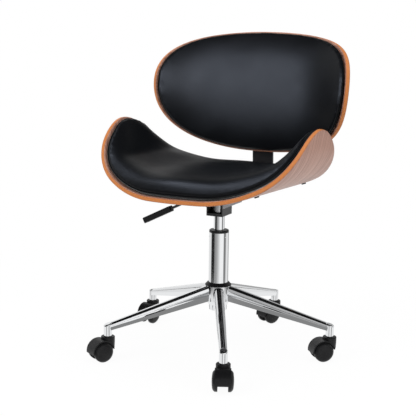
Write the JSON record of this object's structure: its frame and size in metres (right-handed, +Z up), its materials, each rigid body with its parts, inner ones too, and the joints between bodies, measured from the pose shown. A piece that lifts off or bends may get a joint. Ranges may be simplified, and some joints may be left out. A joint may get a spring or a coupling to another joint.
{
  "type": "office chair",
  "caption": "Swivel chair with a bent plywood bucket seat and back, upholstered pads, a gas-lift column and a chromed star base on twin-wheel casters.",
  "frame": {"origin": "on the floor, on the column's axis", "axes": "+Z up; the sitter looks along -Y; the sitter's left hand is on the +X side"},
  "size_m": [0.5915, 0.618, 0.8004],
  "materials": {
    "chrome_plate": "mirror chrome on steel",
    "bright_steel": "turned steel",
    "nylon_black": "moulded nylon, satin",
    "plastic_black": "moulded, satin",
    "painted_steel": "powder coat, satin black",
    "grey_steel": "grey powder coat, satin",
    "screw_steel": "blackened",
    "walnut_plywood": "clear satin lacquer over walnut veneer",
    "black_leather": "smooth, soft sheen"
  },
  "bodies": {
    "base": {"base_arm_1": "chrome_plate", "base_arm_2": "chrome_plate", "base_arm_3": "chrome_plate", "base_arm_4": "chrome_plate", "base_arm_5": "chrome_plate", "base_hub": "chrome_plate", "caster_socket_1": "chrome_plate", "caster_socket_2": "chrome_plate", "caster_socket_3": "chrome_plate", "caster_socket_4": "chrome_plate", "caster_socket_5": "chrome_plate", "column_tube": "chrome_plate", "guide_bushing": "plastic_black", "hub_cover_ring": "plastic_black", "thrust_bearing": "bright_steel", "thrust_race_lower": "bright_steel"},
    "spindle": {"piston_rod": "bright_steel", "thrust_race_upper": "bright_steel", "retaining_clip": "bright_steel"},
    "seat": {"gas_cylinder": "chrome_plate", "mechanism_housing": "painted_steel", "cone_socket": "bright_steel", "mechanism_plate": "grey_steel", "plate_bolts": "screw_steel", "lever_pivot_pin": "bright_steel", "seat_shell": "walnut_plywood", "seat_pad": "black_leather", "seat_side_screws": "screw_steel", "back_bracket": "painted_steel", "bracket_bolts": "screw_steel", "back_shell": "walnut_plywood", "back_pad": "black_leather"},
    "lever": {"lever_rod": "painted_steel", "lever_grip": "plastic_black"},
    "release": {"release_pin": "bright_steel"},
    "caster_1": {"caster_1_stem": "bright_steel", "caster_1_hood": "nylon_black", "caster_1_axle": "bright_steel"},
    "wheel_1_left": {"caster_1_wheel_left": "nylon_black"},
    "wheel_1_right": {"caster_1_wheel_right": "nylon_black"},
    "caster_2": {"caster_2_stem": "bright_steel", "caster_2_hood": "nylon_black", "caster_2_axle": "bright_steel"},
    "wheel_2_left": {"caster_2_wheel_left": "nylon_black"},
    "wheel_2_right": {"caster_2_wheel_right": "nylon_black"},
    "caster_3": {"caster_3_stem": "bright_steel", "caster_3_hood": "nylon_black", "caster_3_axle": "bright_steel"},
    "wheel_3_left": {"caster_3_wheel_left": "nylon_black"},
    "wheel_3_right": {"caster_3_wheel_right": "nylon_black"},
    "caster_4": {"caster_4_stem": "bright_steel", "caster_4_hood": "nylon_black", "caster_4_axle": "bright_steel"},
    "wheel_4_left": {"caster_4_wheel_left": "nylon_black"},
    "wheel_4_right": {"caster_4_wheel_right": "nylon_black"},
    "caster_5": {"caster_5_stem": "bright_steel", "caster_5_hood": "nylon_black", "caster_5_axle": "bright_steel"},
    "wheel_5_left": {"caster_5_wheel_left": "nylon_black"},
    "wheel_5_right": {"caster_5_wheel_right": "nylon_black"}
  },
  "joints": [
    {"name": "seat_swivel", "type": "hinge", "parent": "base", "child": "spindle", "pos_m": [0, 0, 0.11085], "axis": [0, 0, 1], "continuous": true},
    {"name": "gas_lift", "type": "slide", "parent": "spindle", "child": "seat", "axis": [0, 0, 1], "range_m": [-0.03, 0.055]},
    {"name": "lever_lift", "type": "hinge", "parent": "seat", "child": "lever", "pos_m": [-0.0135, 0, 0.39205], "axis": [0, 1, 0], "range_deg": [0, 7], "stiffness_Nm_per_rad": 3, "springref_deg": -8.59},
    {"name": "pin_press", "type": "slide", "parent": "seat", "child": "release", "axis": [0, 0, -1], "range_m": [0, 0.0022]},
    {"name": "caster_1_swivel", "type": "hinge", "parent": "base", "child": "caster_1", "pos_m": [0.13657, -0.2547, 0.06], "axis": [0, 0, 1], "continuous": true},
    {"name": "wheel_1_left_spin", "type": "hinge", "parent": "caster_1", "child": "wheel_1_left", "pos_m": [0.1448, -0.27292, 0.025], "axis": [0.9114, 0.4115, 0], "continuous": true},
    {"name": "wheel_1_right_spin", "type": "hinge", "parent": "caster_1", "child": "wheel_1_right", "pos_m": [0.1448, -0.27292, 0.025], "axis": [0.9114, 0.4115, 0], "continuous": true},
    {"name": "caster_2_swivel", "type": "hinge", "parent": "base", "child": "caster_2", "pos_m": [0.28443, 0.05118, 0.06], "axis": [0, 0, 1], "continuous": true},
    {"name": "wheel_2_left_spin", "type": "hinge", "parent": "caster_2", "child": "wheel_2_left", "pos_m": [0.2695, 0.03787, 0.025], "axis": [0.6652, -0.7466, 0], "continuous": true},
    {"name": "wheel_2_right_spin", "type": "hinge", "parent": "caster_2", "child": "wheel_2_right", "pos_m": [0.2695, 0.03787, 0.025], "axis": [0.6652, -0.7466, 0], "continuous": true},
    {"name": "caster_3_swivel", "type": "hinge", "parent": "base", "child": "caster_3", "pos_m": [0.03922, 0.28633, 0.06], "axis": [0, 0, 1], "continuous": true},
    {"name": "wheel_3_left_spin", "type": "hinge", "parent": "caster_3", "child": "wheel_3_left", "pos_m": [0.03014, 0.26851, 0.025], "axis": [0.891, -0.454, 0], "continuous": true},
    {"name": "wheel_3_right_spin", "type": "hinge", "parent": "caster_3", "child": "wheel_3_right", "pos_m": [0.03014, 0.26851, 0.025], "axis": [0.891, -0.454, 0], "continuous": true},
    {"name": "caster_4_swivel", "type": "hinge", "parent": "base", "child": "caster_4", "pos_m": [-0.26019, 0.12578, 0.06], "axis": [0, 0, 1], "continuous": true},
    {"name": "wheel_4_left_spin", "type": "hinge", "parent": "caster_4", "child": "wheel_4_left", "pos_m": [-0.26193, 0.10586, 0.025], "axis": [0.9962, -0.0872, 0], "continuous": true},
    {"name": "wheel_4_right_spin", "type": "hinge", "parent": "caster_4", "child": "wheel_4_right", "pos_m": [-0.26193, 0.10586, 0.025], "axis": [0.9962, -0.0872, 0], "continuous": true},
    {"name": "caster_5_swivel", "type": "hinge", "parent": "base", "child": "caster_5", "pos_m": [-0.20003, -0.20859, 0.06], "axis": [0, 0, 1], "continuous": true},
    {"name": "wheel_5_left_spin", "type": "hinge", "parent": "caster_5", "child": "wheel_5_left", "pos_m": [-0.21012, -0.22586, 0.025], "axis": [0.8634, -0.5045, 0], "continuous": true},
    {"name": "wheel_5_right_spin", "type": "hinge", "parent": "caster_5", "child": "wheel_5_right", "pos_m": [-0.21012, -0.22586, 0.025], "axis": [0.8634, -0.5045, 0], "continuous": true}
  ],
  "couplings": [
    {"joint": "pin_press", "follows": "lever_lift", "m_per_rad": 0.0145}
  ]
}
